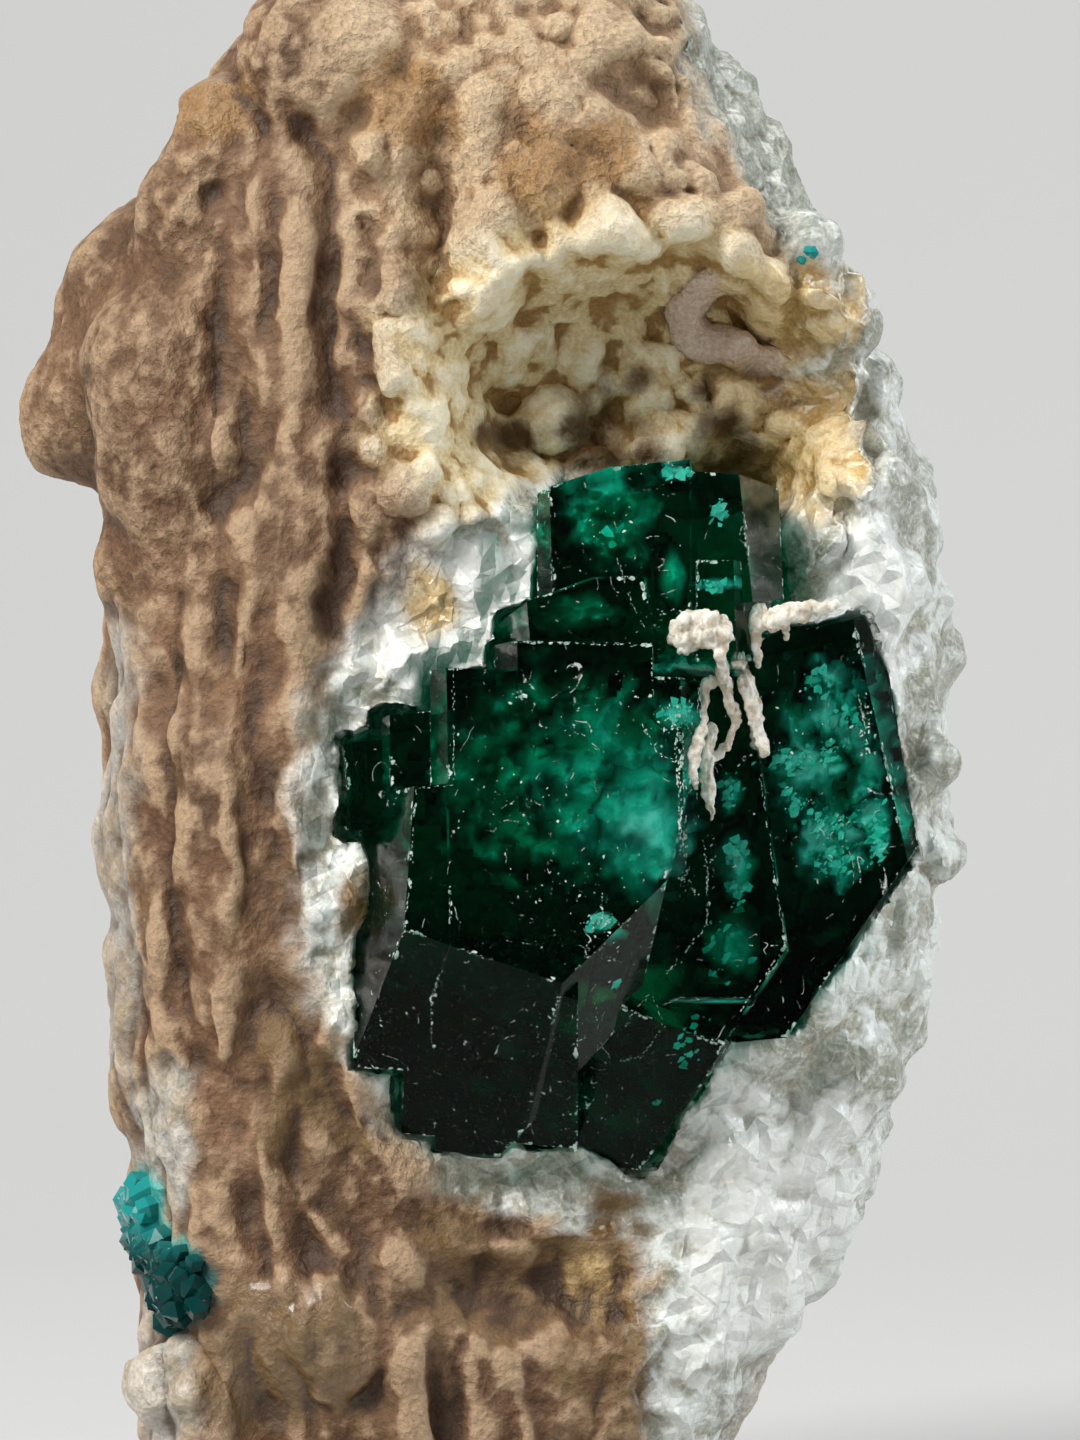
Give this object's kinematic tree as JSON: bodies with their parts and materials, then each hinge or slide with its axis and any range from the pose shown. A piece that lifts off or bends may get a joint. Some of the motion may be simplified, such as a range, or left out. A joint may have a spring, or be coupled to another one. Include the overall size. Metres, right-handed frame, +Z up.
{
  "type": "dioptase crystal specimen on matrix",
  "caption": "Hand specimen of deep green prismatic dioptase crystals in a hollow of crusted quartz, standing upright on a flat broken base",
  "frame": {"origin": "middle of the bounding box at the level of the flat base", "axes": "+Z up along the longest extent, -Y towards the side that shows the crystals, +X to the right of that side"},
  "size_m": [0.0338, 0.0254, 0.0587],
  "materials": {
    "matrix_stone": "rough, tan crust over white quartz",
    "dioptase": "clear deep green crystal, glassy",
    "dioptase_teal": "small teal crystals, glassy",
    "cream_crust": "matt, chalky"
  },
  "bodies": {
    "root": {"matrix": "matrix_stone", "dioptase_cluster": "dioptase", "side_crystals": "dioptase_teal", "crust_strands": "cream_crust", "crust_corner": "cream_crust"}
  },
  "joints": []
}
